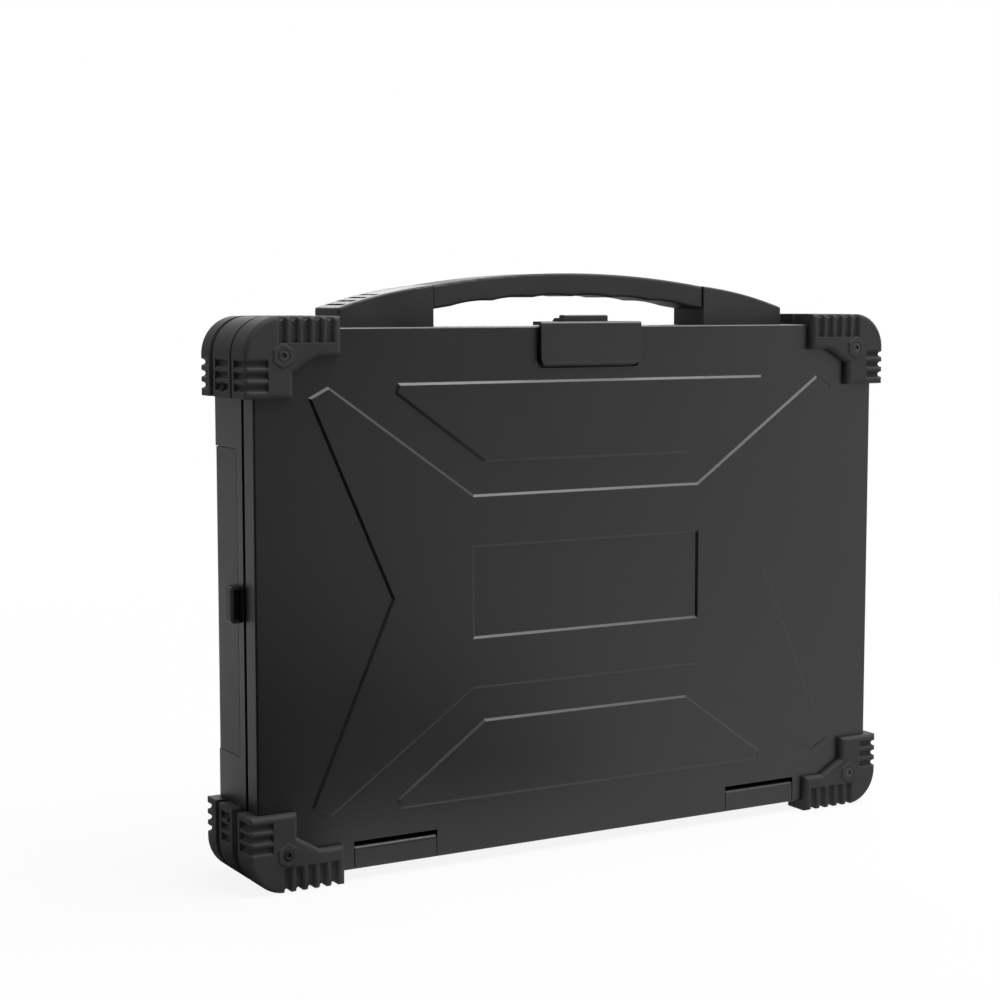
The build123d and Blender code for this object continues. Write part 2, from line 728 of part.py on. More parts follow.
with BuildPart() as handle_grip:
    with BuildSketch(at_y(handle_y + grip_depth / 2)) as grip_side:
        with BuildLine():
            end_z = top + block_inner_height
            upper = ThreePointArc((-grip_half, end_z), (0, top + grip_rise), (grip_half, end_z))
            knuckles = [(i - finger_count / 2) * finger_pitch for i in range(finger_count + 1)]
            spots = [-grip_half] + knuckles + [grip_half]
            under = [top + arc_height(x, grip_half, grip_end, under_mid) for x in spots]
            Line((spots[0], under[0]), upper @ 0)
            Line((spots[0], under[0]), (spots[1], under[1]))
            for i in range(1, finger_count + 1):
                hollow = ((spots[i] + spots[i + 1]) / 2, (under[i] + under[i + 1]) / 2 + finger_hollow)
                ThreePointArc((spots[i], under[i]), hollow, (spots[i + 1], under[i + 1]))
            Line((spots[-2], under[-2]), (spots[-1], under[-1]))
            Line((spots[-1], under[-1]), upper @ 1)
        make_face()
        ridge_top = top + under_mid + finger_hollow
        ridges = [v for v in grip_side.vertices() if abs(v.X) < knuckles[-1] + over and v.Y < ridge_top]
        fillet(ridges, knuckle_round)
    extrude(amount=grip_depth)
    ends = handle_grip.faces().filter_by(Axis.X).edges()
    across = handle_grip.edges().filter_by(Axis.Y)
    fillet(handle_grip.edges() - ends - across, grip_round)
    add(handle_core.part, mode=Mode.SUBTRACT)
handle_grip.part.label = "handle_grip"
export_step(handle_grip.part, "parts/handle_grip.step")

bolts = ((bolt_inner, block_inner_height - bolt_cover), (bolt_outer, bolt_outer_reach))

for name, side in sides:
    with BuildPart() as handle_block:
        with BuildSketch(at_y(handle_y + block_depth / 2)):
            with BuildLine():
                inner = (side * block_inner, top + block_inner_height)
                outer = (side * block_outer, top + block_outer_height)
                bulge = ((inner[0] + outer[0]) / 2, (inner[1] + outer[1]) / 2 + block_bulge)
                ThreePointArc(inner, bulge, outer)
                Polyline(inner, (inner[0], top), (outer[0], top), outer)
            make_face()
        extrude(amount=block_depth)
        inner_face = handle_block.faces().filter_by(Axis.X).sort_by(lambda f: abs(f.center().X))[0]
        underside = handle_block.faces().sort_by(Axis.Z)[0]
        fillet(handle_block.edges() - inner_face.edges() - underside.edges(), block_round)
        # treads across the sloping crown near its outer end
        for i in range(tread_count):
            x = block_outer - tread_inset - i * tread_pitch
            share = (x - block_inner) / (block_outer - block_inner)
            slope = block_inner_height * (1 - share) + block_outer_height * share
            crown_z = top + slope + 4 * block_bulge * share * (1 - share)
            with BuildSketch(Plane.XY.offset(crown_z - tread_depth)) as tread:
                with Locations((side * x, handle_y)):
                    SlotOverall(tread_length, tread_width, rotation=90)
            extrude(tread.sketch, amount=block_inner_height, mode=Mode.SUBTRACT)
        # mortise for the bar, bores for the bolts
        add(handle_core.part, mode=Mode.SUBTRACT)
        for x, reach in bolts:
            bore_top = top + reach + bolt_tip_gap
            upright(side * x, bolt_y, top - over, bore_top, bolt_radius + slip, Mode.SUBTRACT)
    handle_block.part.label = f"handle_block_{name}"
    export_step(handle_block.part, f"parts/handle_block_{name}.step")

with BuildPart() as handle_bolts:
    under_pad = top - wall - pad_thickness
    for name, side in sides:
        for x, reach in bolts:
            upright(side * x, bolt_y, under_pad, top + reach, bolt_radius)
            upright(side * x, bolt_y, under_pad - bolt_head_height, under_pad, bolt_head_radius)
handle_bolts.part.label = "handle_bolts"
export_step(handle_bolts.part, "parts/handle_bolts.step")

# ---- keeper for the latch, let into the top of the base

with BuildPart() as latch_keeper:
    block(-keeper_half, keeper_half, base_front, base_front + keeper_depth, top - keeper_thickness, top)
    # the slot's front face is an arc about the latch pin, so a pull on the lid can't open the latch
    with BuildSketch(at_x(-slot_half)):
        with Locations((latch_y + (slot_front + slot_back) / 2, top - keeper_thickness / 2)):
            Rectangle(slot_back - slot_front, keeper_thickness + 2 * over)
        with Locations((latch_y, latch_z)):
            Circle(strike_radius, mode=Mode.SUBTRACT)
    extrude(amount=2 * slot_half, mode=Mode.SUBTRACT)
    with Locations(Plane.XY.offset(top)):
        with Locations((-keeper_screw_x, keeper_screw_y), (keeper_screw_x, keeper_screw_y)):
            sink_radius = keeper_screw_head + keeper_screw_sink
            CounterSinkHole(screw_shank + slip, sink_radius, keeper_thickness, 90)
latch_keeper.part.label = "latch_keeper"
export_step(latch_keeper.part, "parts/latch_keeper.step")

with BuildPart() as keeper_screws:
    for x in (-keeper_screw_x, keeper_screw_x):
        upright(x, keeper_screw_y, top - keeper_screw_length, top - 2 * keeper_screw_sink, screw_shank)
        with Locations((x, keeper_screw_y, top - keeper_screw_sink - keeper_head_height / 2)):
            Cone(screw_shank, keeper_screw_head, keeper_head_height)
keeper_screws.part.label = "keeper_screws"
export_step(keeper_screws.part, "parts/keeper_screws.step")

# ---- lid

half_height = case_height / 2
cross_points = [
    (side_x - arm_tip_margin[0], half_height - arm_tip_margin[1]),
    (side_x - arm_end_margin[0], half_height - arm_end_margin[1]),
    centre_half,
]
panel_points = [
    (panel_short_half, centre_half[1] + panel_lift),
    (panel_long_half + panel_nick[0], half_height - panel_margin - panel_nick[1]),
    (panel_long_half, half_height - panel_margin),
]


def closed_outline(y, points):
    with BuildSketch(at_y(y)) as outline:
        with BuildLine():
            Polyline(points, close=True)
        make_face()
    return outline.sketch


def mirrored(points, mx, mz):
    return [(mx * x, mid_z + mz * z) for x, z in points]


# room for the latch plate's foot to swing into the lid's face
with BuildPart() as foot_room:
    with BuildSketch(at_x(-plate_half - latch_gap)):
        with Locations((latch_y, latch_z)):
            Circle(plate_foot_radius + latch_gap)
        with Locations((front, latch_z)):
            Rectangle(2 * foot_hollow, 4 * plate_foot_radius, mode=Mode.INTERSECT)
    extrude(amount=2 * (plate_half + latch_gap))
    room_low = latch_z - plate_foot_radius - latch_gap
    extrude(plate_outline(room_low, hollow_corner, latch_gap), amount=2 * lid_depth, mode=Mode.INTERSECT)

with BuildPart() as lid_shell:
    add(lid_blank.part)
    extrude(mouth_outline(lid_back), amount=lid_depth - lid_wall, mode=Mode.SUBTRACT)
    housing_low, housing_high = top - housing_drop, top - rim_width / 2
    block(-housing_half, housing_half, front + lid_wall / 2, lid_back, housing_low, housing_high)
    fillet(lid_shell.edges().group_by(Axis.Y)[-1].filter_by(Axis.X).sort_by(Axis.Z)[0], front_edge_round)
    # the raised cross, its sunk window, and the two raised panels above and below it
    cross = (
        mirrored(cross_points, 1, 1)
        + mirrored(cross_points, -1, 1)[::-1]
        + [(-waist_half, mid_z)]
        + mirrored(cross_points, -1, -1)
        + mirrored(cross_points, 1, -1)[::-1]
        + [(waist_half, mid_z)]
    )
    extrude(closed_outline(front, cross), amount=emboss_height, taper=emboss_taper)
    for rise in (-1, 1):
        panel = mirrored(panel_points, 1, rise) + mirrored(panel_points, -1, rise)[::-1]
        extrude(closed_outline(front, panel), amount=emboss_height, taper=emboss_taper)
    with BuildSketch(at_y(front - emboss_height)) as window:
        with Locations((0, mid_z)):
            Rectangle(2 * window_half[0], 2 * window_half[1])
    extrude(window.sketch, amount=-emboss_height, taper=emboss_taper, mode=Mode.SUBTRACT)
    # notches for the hinge covers, bores for the pins
    for name, side in sides:
        low, high = sorted((side * notch_inner, side * notch_outer))
        notch_top = bottom + cover_height + cover_slit
        block(low, high, front - over, lid_back + over, bottom - over, notch_top, Mode.SUBTRACT)
        low, high = sorted((side * (notch_inner - hinge_pin_bite - seat), side * (side_x + over)))
        rod(low, high, hinge_y, hinge_z, hinge_pin_radius + slip, Mode.SUBTRACT)
    # room for the latch plate's foot, and the trough for its ears and spring
    add(foot_room.part, mode=Mode.SUBTRACT)
    rod(-trough_half, trough_half, latch_y, latch_z, ear_radius + trough_clearance, Mode.SUBTRACT)
    pin_end = trough_half + latch_pin_bite
    rod(-pin_end - seat, pin_end + seat, latch_y, latch_z, latch_pin_radius + slip, Mode.SUBTRACT)
    for name, side, rise in corners:
        boss_bore(side, rise, front - over, lid_back + over, screw_shank + slip)
lid_shell.part.label = "lid_shell"
export_step(lid_shell.part, "parts/lid_shell.step")

with BuildPart() as lid_foam:
    with BuildSketch(at_y(front + lid_wall + seat + lid_foam_depth)):
        with Locations((0, mouth_z)):
            RectangleRounded(mouth_width - 2 * seat, mouth_height - 2 * seat, mouth_corner - seat)
        with Locations((0, top - housing_drop / 2)):
            Rectangle(2 * (housing_half + seat), housing_drop + 2 * seat, mode=Mode.SUBTRACT)
    extrude(amount=lid_foam_depth)
lid_foam.part.label = "lid_foam"
export_step(lid_foam.part, "parts/lid_foam.step")

# ---- latch on the lid

with BuildPart() as latch_pin:
    rod(-pin_end, pin_end, latch_y, latch_z, latch_pin_radius)
latch_pin.part.label = "latch_pin"
export_step(latch_pin.part, "parts/latch_pin.step")

with BuildPart() as latch_spring:
    # coils laid side by side round the pin, flattened where they touch
    turns = int(2 * spring_half / spring_wire)
    coil_y = latch_y - latch_pin_radius - spring_slack - spring_wire / 2
    with BuildSketch(Plane.XY.offset(latch_z)):
        with Locations(*[(-spring_half + (i + 0.5) * spring_wire, coil_y) for i in range(turns)]):
            Circle(0.55 * spring_wire)
    revolve(axis=Axis((0, latch_y, latch_z), (1, 0, 0)))
latch_spring.part.label = "latch_spring"
export_step(latch_spring.part, "parts/latch_spring.step")

with BuildPart() as latch_lever:
    # plate with a foot curved about the pin, and the flange over the lid's top edge
    with BuildSketch(at_x(-plate_half)):
        with Locations((latch_y, latch_z)):
            Circle(plate_foot_radius)
        with Locations(((plate_front + plate_back) / 2, latch_z - plate_foot_radius / 2)):
            Rectangle(plate_thickness, plate_foot_radius, mode=Mode.INTERSECT)
        with Locations(((plate_front + plate_back) / 2, (latch_z + flange_top) / 2)):
            Rectangle(plate_thickness, flange_top - latch_z)
    extrude(amount=2 * plate_half)
    fillet(latch_lever.edges().filter_by(Axis.X).sort_by(Axis.Z)[-2:].sort_by(Axis.Y)[0], plate_top_round)
    foot = latch_z - sqrt(plate_foot_radius**2 - (latch_y - plate_back) ** 2)
    extrude(plate_outline(foot, plate_corner), amount=2 * lid_depth, mode=Mode.INTERSECT)
    block(-flange_half, flange_half, plate_back, flange_back, top + flange_gap, flange_top)
    block(-tab_half, tab_half, tab_front, tab_back, flange_top, flange_top + tab_height)
    fillet(latch_lever.edges().group_by(Axis.Z)[-1], tab_round)
    # two ears that turn on the latch pin inside the lid
    for x in (-ear_spacing, ear_spacing):
        low, high = x - ear_width / 2, x + ear_width / 2
        rod(low, high, latch_y, latch_z, ear_radius)
        neck = ear_radius - ear_notch
        block(low, high, plate_back, latch_y, latch_z - neck, latch_z + neck)
        rod(low - over, high + over, latch_y, latch_z, latch_pin_radius + running, Mode.SUBTRACT)
    for x in (-rivet_x, rivet_x):
        upright(x, rivet_y, top, flange_top + over, rivet_radius + slip, Mode.SUBTRACT)
latch_lever.part.label = "latch_lever"
export_step(latch_lever.part, "parts/latch_lever.step")

with BuildPart() as latch_hook:
    # strip on the flange that ends in a claw curved about the latch pin
    strip_top = flange_top + claw_strip
    with BuildSketch(at_x(-claw_half)):
        with Locations((latch_y, latch_z)):
            Circle(claw_radius + claw_thickness)
            Circle(claw_radius, mode=Mode.SUBTRACT)
        claw_foot = top - claw_reach
        with Locations((latch_y + claw_radius, (claw_foot + strip_top) / 2)):
            Rectangle(1.5 * claw_radius, strip_top - claw_foot, mode=Mode.INTERSECT)
        strip_back = latch_y + claw_radius / 2
        with Locations(((tab_back + strip_back) / 2, flange_top + claw_strip / 2)):
            Rectangle(strip_back - tab_back, claw_strip)
    extrude(amount=2 * claw_half)
    for x in (-rivet_x, rivet_x):
        upright(x, rivet_y, top, strip_top + over, rivet_radius + slip, Mode.SUBTRACT)
latch_hook.part.label = "latch_hook"
export_step(latch_hook.part, "parts/latch_hook.step")

with BuildPart() as latch_rivets:
    for x in (-rivet_x, rivet_x):
        upright(x, rivet_y, top + flange_gap, strip_top, rivet_radius)
        upright(x, rivet_y, strip_top, strip_top + rivet_head_height, 1.5 * rivet_radius)
latch_rivets.part.label = "latch_rivets"
export_step(latch_rivets.part, "parts/latch_rivets.step")

# ---- port door in the left side, hinged at its rear edge

with BuildPart() as door_panel:
    block(-side_x, -side_x + door_thickness, door_edge, barrel_y, door_low, door_high)
    upright(barrel_x, barrel_y, door_low, door_high, door_barrel)
    upright(barrel_x, barrel_y, door_low - over, door_high + over, door_pin_radius + running, Mode.SUBTRACT)
door_panel.part.label = "door_panel"
export_step(door_panel.part, "parts/door_panel.step")

with BuildPart() as door_pull:
    # hood over the door's free edge, open towards the seam
    pull_front = door_edge - pull_overhang
    pull_back = pull_front + pull_length
    pull_low, pull_high = mid_z - pull_half, mid_z + pull_half
    outside = -side_x - pull_proud
    block(outside, -side_x, pull_front, pull_back, pull_low, pull_high)
    fillet(door_pull.edges().group_by(Axis.X)[0], pull_round)
    block(
        outside + pull_wall, -side_x - seat, pull_front - over, pull_back - 2 * pull_wall,
        pull_low + pull_wall, pull_high - pull_wall, Mode.SUBTRACT,
    )
    block(-side_x - seat, -side_x, pull_front - over, door_edge + seat, pull_low, pull_high, Mode.SUBTRACT)
door_pull.part.label = "door_pull"
export_step(door_pull.part, "parts/door_pull.step")

with BuildPart() as door_pin:
    reach = door_pin_bite - door_pin_slack
    upright(barrel_x, barrel_y, door_low - reach, door_high + reach, door_pin_radius)
door_pin.part.label = "door_pin"
export_step(door_pin.part, "parts/door_pin.step")

with BuildPart() as door_seal:
    ledge_x = -side_x + seal_recess
    seal_front, seal_back = recess_front + door_seal_fit, recess_back - door_seal_fit
    seal_low, seal_high = recess_low + door_seal_fit, recess_high - door_seal_fit
    block(ledge_x - door_seal_thickness, ledge_x, seal_front, seal_back, seal_low, seal_high)
    door_window(-side_x, ledge_x + over)
door_seal.part.label = "door_seal"
export_step(door_seal.part, "parts/door_seal.step")
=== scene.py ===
import json
import math

import bmesh
import bpy
from mathutils import Matrix, Vector


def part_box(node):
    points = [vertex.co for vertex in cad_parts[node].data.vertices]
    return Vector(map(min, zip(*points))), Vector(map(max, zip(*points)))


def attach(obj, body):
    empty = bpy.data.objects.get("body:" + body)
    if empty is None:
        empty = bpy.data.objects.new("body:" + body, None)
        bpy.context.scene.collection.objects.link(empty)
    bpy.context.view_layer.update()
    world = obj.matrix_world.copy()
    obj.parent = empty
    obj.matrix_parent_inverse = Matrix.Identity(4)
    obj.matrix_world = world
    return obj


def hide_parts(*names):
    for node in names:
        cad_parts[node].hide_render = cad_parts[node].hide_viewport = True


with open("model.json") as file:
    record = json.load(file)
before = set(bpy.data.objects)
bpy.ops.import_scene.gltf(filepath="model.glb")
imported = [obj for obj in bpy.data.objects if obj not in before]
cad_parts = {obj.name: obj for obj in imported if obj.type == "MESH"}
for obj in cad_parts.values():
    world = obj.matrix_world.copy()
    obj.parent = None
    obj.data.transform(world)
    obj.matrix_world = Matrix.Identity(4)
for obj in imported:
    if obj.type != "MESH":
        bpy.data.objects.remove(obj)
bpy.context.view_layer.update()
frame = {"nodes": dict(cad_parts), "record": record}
nodes = frame["nodes"]
millimetre = 0.001

edgeWear = {
    # how a softened edge is drawn and where wear starts
    "samples": 6,
    "flat": 0.995,  # likeness of the softened to the true direction where there is no wear
    "worn": 0.86,  # the same where the wear is full
}


class Sum:
    # a number or colour inside a recipe, so that sums on it add Math nodes
    def __init__(self, recipe, socket):
        self.recipe, self.socket = recipe, socket

    def math(self, operation, first, second):
        return self.recipe.add("ShaderNodeMath", {"operation": operation}, {0: first, 1: second})

    def __add__(self, other):
        return self.math("ADD", self, other)

    def __mul__(self, other):
        return self.math("MULTIPLY", self, other)


class Recipe:
    # the nodes of one material, or of the world
    def __init__(self, owner):
        self.owner = owner
        owner.use_nodes = True
        self.tree = owner.node_tree
        self.tree.nodes.clear()

    def add(self, kind, settings=None, sockets=None, output=0):
        node = self.tree.nodes.new(kind)
        for key, value in (settings or {}).items():
            setattr(node, key, value)
        for key, value in (sockets or {}).items():
            if isinstance(value, Sum):
                self.tree.links.new(value.socket, node.inputs[key])
            else:
                node.inputs[key].default_value = value
        return Sum(self, node.outputs[output]) if node.outputs else node

    def place(self):
        return self.add("ShaderNodeTexCoord", output="Object")

    def noise(self, scale, detail=2.0, roughness=0.5):
        sockets = {"Vector": self.place(), "Scale": scale, "Detail": detail, "Roughness": roughness}
        return self.add("ShaderNodeTexNoise", {}, sockets, output="Fac")

    def ramp(self, value, low, high):
        # 0 at low, 1 at high
        return self.add("ShaderNodeMapRange", {}, {"Value": value, "From Min": low, "From Max": high})

    def blend(self, share, first, second):
        # from the first colour to the second
        return self.add("ShaderNodeMix", {"data_type": "RGBA"}, {0: share, 6: first, 7: second}, output=2)

    def softEdge(self, radius):
        return self.add("ShaderNodeBevel", {"samples": edgeWear["samples"]}, {"Radius": radius}, output="Normal")

    def edgeMask(self, rounded):
        # 0 on flat ground, 1 where an edge is rounded off
        plain = self.add("ShaderNodeNewGeometry", output="Normal")
        same = self.add("ShaderNodeVectorMath", {"operation": "DOT_PRODUCT"}, {0: plain, 1: rounded}, output="Value")
        return self.ramp(same, edgeWear["flat"], edgeWear["worn"])

    def bump(self, height, distance, strength, normal=None):
        sockets = {"Height": height, "Distance": distance, "Strength": strength}
        if normal:
            sockets["Normal"] = normal
        return self.add("ShaderNodeBump", {}, sockets, output="Normal")

    def onStage(self):
        # 1 for rays that should meet the plain white surroundings
        camera, glossy, through = [
            self.add("ShaderNodeLightPath", output=f"Is {ray} Ray") for ray in ("Camera", "Glossy", "Transmission")]
        return camera.math("MAXIMUM", camera.math("MAXIMUM", camera, glossy), through)

    def principled(self, sockets):
        return self.add("ShaderNodeBsdfPrincipled", {}, sockets)

    def finish(self, shader, end="ShaderNodeOutputMaterial"):
        self.add(end, {}, {"Surface": shader})
        return self.owner


def newRecipe(name):
    return Recipe(bpy.data.materials.new(name))


def grey(level):
    return (level, level, level, 1)


# In each look, a noise is its scale, detail and roughness, and a range is what turns into 0 and 1.
powderCoat = {
    "shade": 0.004,
    "lighter": 0.007,
    "roughness": 0.36,
    "specular": 0.6,
    "edge": 0.0003,
    "clouds": (14.0, 4.0, 0.6),
    "cloudRange": (0.35, 0.65),
    "cloudShare": 0.5,
    "cloudRoughness": 0.05,
    "specks": 0.8,  # their scale, as a share of the grain's
    "speckRange": (0.6, 0.75),
    "speckShare": 0.3,
    "speckRoughness": 0.04,
    "wornEdge": 0.025,
    "wornShare": 0.6,
    "scuffs": (220.0, 6.0, 0.7),
    "scuffRange": (0.48, 0.72),
    "grain": 1500.0,
    "coarseGrain": (0.3, 0.8),  # scale and height, as shares of the grain's
    "grainDepth": 0.00003,
    "grainStrength": 0.6,
}


def powderCoated(name, values):
    recipe = newRecipe(name)
    rounded = recipe.softEdge(values["edge"])
    edges = recipe.edgeMask(rounded)
    clouds = recipe.ramp(recipe.noise(*values["clouds"]), *values["cloudRange"])
    specks = recipe.ramp(recipe.noise(values["grain"] * values["specks"]), *values["speckRange"])
    mottle = clouds * values["cloudShare"] + specks * values["speckShare"]
    coat = recipe.blend(mottle, grey(values["shade"]), grey(values["lighter"]))
    scuffs = recipe.ramp(recipe.noise(*values["scuffs"]), *values["scuffRange"])
    coarseScale, coarseHeight = values["coarseGrain"]
    peel = recipe.noise(values["grain"], 1.0) + recipe.noise(values["grain"] * coarseScale) * coarseHeight
    uneven = clouds * values["cloudRoughness"] + specks * values["speckRoughness"]
    return recipe.finish(recipe.principled({
        "Base Color": recipe.blend(edges * scuffs * values["wornShare"], coat, grey(values["wornEdge"])),
        "Roughness": uneven + values["roughness"],
        "Specular IOR Level": values["specular"],
        "Normal": recipe.bump(peel, values["grainDepth"], values["grainStrength"], rounded),
    }))


rubber = {
    "shade": 0.027,
    "lighter": 0.034,
    "roughness": 0.6,
    "specular": 0.22,
    "edge": 0.0007,
    "clouds": (30.0, 5.0, 0.6),
    "cloudRange": (0.35, 0.7),
    "cloudRoughness": 0.08,
    "scuff": 0.05,
    "scuffShare": 0.5,
    "scuffs": (260.0, 5.0, 0.7),
    "scuffRange": (0.5, 0.75),
    "stipple": 1900.0,
    "stippleDetail": 1.5,
    "stippleDepth": 0.00004,
    "stippleStrength": 0.7,
}


def moulded(name, values):
    recipe = newRecipe(name)
    rounded = recipe.softEdge(values["edge"])
    edges = recipe.edgeMask(rounded)
    clouds = recipe.ramp(recipe.noise(*values["clouds"]), *values["cloudRange"])
    scuffs = recipe.ramp(recipe.noise(*values["scuffs"]), *values["scuffRange"])
    body = recipe.blend(clouds, grey(values["shade"]), grey(values["lighter"]))
    stipple = recipe.noise(values["stipple"], values["stippleDetail"])
    return recipe.finish(recipe.principled({
        "Base Color": recipe.blend(edges * scuffs * values["scuffShare"], body, grey(values["scuff"])),
        "Roughness": clouds * values["cloudRoughness"] + values["roughness"],
        "Specular IOR Level": values["specular"],
        "Normal": recipe.bump(stipple, values["stippleDepth"], values["stippleStrength"], rounded),
    }))


foamLook = {
    "shade": 0.016,
    "lighter": 0.045,
    # the bump's heights over which the colour goes from painted shade in the cells' hollows to painted light on
    # their walls
    "paintedShadeRange": (0.25, 0.85),
    "roughness": 0.95,
    "sheen": 0.25,
    "sheenRoughness": 0.6,
    "cell": 900.0,
    "cellHeight": 0.7,
    "fibres": (0.6, 3.0),  # scale as a share of the cells', and detail
    "fibreHeight": 0.6,
    "depth": 0.0006,
    "strength": 0.8,
}


def openCellFoam(name, values):
    recipe = newRecipe(name)
    cells = recipe.add(
        "ShaderNodeTexVoronoi", {}, {"Vector": recipe.place(), "Scale": values["cell"]}, output="Distance")
    scale, detail = values["fibres"]
    fibres = recipe.noise(values["cell"] * scale, detail)
    height = cells * values["cellHeight"] + fibres * values["fibreHeight"]
    # the colour follows the bump's height: painted shade in the cells' hollows, painted light on the cell walls
    lit = recipe.ramp(height, *values["paintedShadeRange"])
    return recipe.finish(recipe.principled({
        "Base Color": recipe.blend(lit, grey(values["shade"]), grey(values["lighter"])),
        "Roughness": values["roughness"],
        "Sheen Weight": values["sheen"],
        "Sheen Roughness": values["sheenRoughness"],
        "Normal": recipe.bump(height, values["depth"], values["strength"]),
    }))


steelLook = {
    "shade": 0.07,
    "lighter": 0.14,
    "roughness": 0.45,
    "edge": 0.0002,
    "edgeShare": 0.7,
    "stain": (400.0, 4.0, 0.6),
    "stainShare": 0.2,
    "stainRoughness": 0.15,
    "grain": 2500.0,
    "grainDepth": 0.00001,
    "grainStrength": 0.5,
}


def blackenedSteel(name, values):
    recipe = newRecipe(name)
    rounded = recipe.softEdge(values["edge"])
    edges = recipe.edgeMask(rounded)
    stain = recipe.noise(*values["stain"])
    bare = edges * values["edgeShare"] + stain * values["stainShare"]
    return recipe.finish(recipe.principled({
        "Base Color": recipe.blend(bare, grey(values["shade"]), grey(values["lighter"])),
        "Metallic": 1.0,
        "Roughness": stain * values["stainRoughness"] + values["roughness"],
        "Normal": recipe.bump(
            recipe.noise(values["grain"]), values["grainDepth"], values["grainStrength"], rounded),
    }))


finishes = {
    "case_metal": powderCoated("caseCoat", powderCoat),
    "fitting_metal": powderCoated("fittingCoat", {
        **powderCoat, "shade": 0.006, "lighter": 0.009, "edge": 0.00025, "roughness": 0.4}),
    "bumper_rubber": moulded("bumperRubber", rubber),
    "grip_rubber": moulded("gripRubber", {**rubber, "roughness": 0.55, "edge": 0.0006}),
    "handle_plastic": moulded("handlePlastic", {
        **rubber, "shade": 0.029, "lighter": 0.037, "roughness": 0.4, "stipple": 2400.0, "edge": 0.0003}),
    "seal_rubber": moulded("sealRubber", {**rubber, "shade": 0.008, "lighter": 0.012, "edge": 0.0003}),
    "foam": openCellFoam("linerFoam", foamLook),
    "steel": blackenedSteel("blackenedSteel", steelLook),
}
slots = {part["node"]: part["material_slot"] for part in frame["record"]["subparts"]}
for name, slotName in slots.items():
    mesh = nodes[name].data
    mesh.materials.clear()
    mesh.materials.append(finishes[slotName])
print("finishes on", len(slots), "nodes")


def asPiece(name, shape, body, node, smooth=30.0):
    # turns a bmesh into an object that rides on a body and takes the node's finish
    bmesh.ops.recalc_face_normals(shape, faces=shape.faces)
    mesh = bpy.data.meshes.new(name)
    shape.to_mesh(mesh)
    shape.free()
    mesh.materials.append(finishes[slots[node]])
    mesh.shade_smooth()
    mesh.set_sharp_from_angle(angle=math.radians(smooth))
    piece = bpy.data.objects.new(name, mesh)
    bpy.context.scene.collection.objects.link(piece)
    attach(piece, body)
    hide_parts(node)
    return piece


def facing(place, outward):
    # the frame of a piece at place whose own Z points outward
    turn = Vector((0, 0, 1)).rotation_difference(Vector(outward)).to_matrix().to_4x4()
    return Matrix.Translation(place) @ turn


def addRings(shape, rings, where):
    # skins and closes a row of rings, each of the same count of points
    made = [[shape.verts.new(where @ Vector(point)) for point in ring] for ring in rings]
    for lower, upper in zip(made, made[1:]):
        for i in range(len(lower)):
            j = (i + 1) % len(lower)
            shape.faces.new((lower[i], lower[j], upper[j], upper[i]))
    shape.faces.new(made[0][::-1])
    shape.faces.new(made[-1])


ringPoints = 48


def circle(radius, height):
    turn = 2 * math.pi / ringPoints
    return [(radius * math.cos(i * turn), radius * math.sin(i * turn), height) for i in range(ringPoints)]


def hexagon(across, height):
    # a six-sided ring, across its flats
    ring = []
    for i in range(ringPoints):
        angle = 2 * math.pi * i / ringPoints
        fromFlat = (angle + math.pi / 6) % (math.pi / 3) - math.pi / 6
        radius = across / 2 / math.cos(fromFlat)
        ring.append((radius * math.cos(angle), radius * math.sin(angle), height))
    return ring


cornerGap = 1e-6


def nodeShape(node):
    # the node's own mesh with its split corners joined
    shape = bmesh.new()
    shape.from_mesh(nodes[node].data)
    bmesh.ops.remove_doubles(shape, verts=shape.verts, dist=cornerGap)
    return shape


def solidBoxes(node):
    # the low and high corner of each solid in a node
    shape = nodeShape(node)
    left, boxes = set(shape.verts), []
    while left:
        found, waiting = [], [left.pop()]
        while waiting:
            vertex = waiting.pop()
            found.append(vertex.co.copy())
            near = {edge.other_vert(vertex) for edge in vertex.link_edges} & left
            left -= near
            waiting.extend(near)
        boxes.append([Vector([pick(point[i] for point in found) for i in range(3)]) for pick in (min, max)])
    shape.free()
    return boxes


screwLook = {
    # screws and bolts with a six-sided socket
    "socket": 0.85,  # across its flats, as a share of the head's radius
    "socketDepth": 0.4,  # as a share of the head's height
    "headBevel": 0.0004,
    "sunkRim": 0.0002,
}
screws = {
    # node: the body, the axis, the head's side of it, whether the head is conical,
    # and in millimetres the radii of head and shank and the head's height
    "lid_cap_screws": ("lid", 1, -1, False, 3.2, 1.5, 2.1),
    "rear_cap_screws": ("base", 1, 1, False, 3.2, 1.5, 2.1),
    "band_screws": ("base", 0, 0, False, 2.7, 1.5, 1.6),  # side 0: outward at both ends of the case
    "keeper_screws": ("base", 2, 1, True, 2.6, 1.5, 1.1),
    "handle_bolts": ("base", 2, -1, False, 4.25, 2.5, 2.8),
}


def addScrew(shape, where, radius, shank, height, length, sunk, values):
    # its own Z points out of the hole, with the top of the head at 0
    across, bevel, rim = values["socket"] * radius, values["headBevel"], values["sunkRim"]
    rings = [
        hexagon(across, -values["socketDepth"] * height),
        hexagon(across, -bevel / 4),
        hexagon(across + bevel / 2, 0),
    ]
    if sunk:
        rings += [circle(radius, 0), circle(radius, -rim), circle(shank, rim - height)]
    else:
        rings += [
            circle(radius - bevel, 0),
            circle(radius - bevel / 4, -bevel / 4),
            circle(radius, -bevel),
            circle(radius, -height),
        ]
    rings += [circle(shank, -height), circle(shank, -length)]
    addRings(shape, rings, where)


def buildScrews():
    for node, (body, axis, side, sunk, *sizes) in screws.items():
        radius, shank, height = (size * millimetre for size in sizes)
        shape = bmesh.new()
        for low, high in solidBoxes(node):
            place = (low + high) / 2
            end = side or math.copysign(1, place[axis])
            place[axis] = high[axis] if end > 0 else low[axis]
            where = facing(place, [end if i == axis else 0 for i in range(3)])
            addScrew(shape, where, radius, shank, height, high[axis] - low[axis], sunk, screwLook)
        asPiece(node + "_look", shape, body, node)


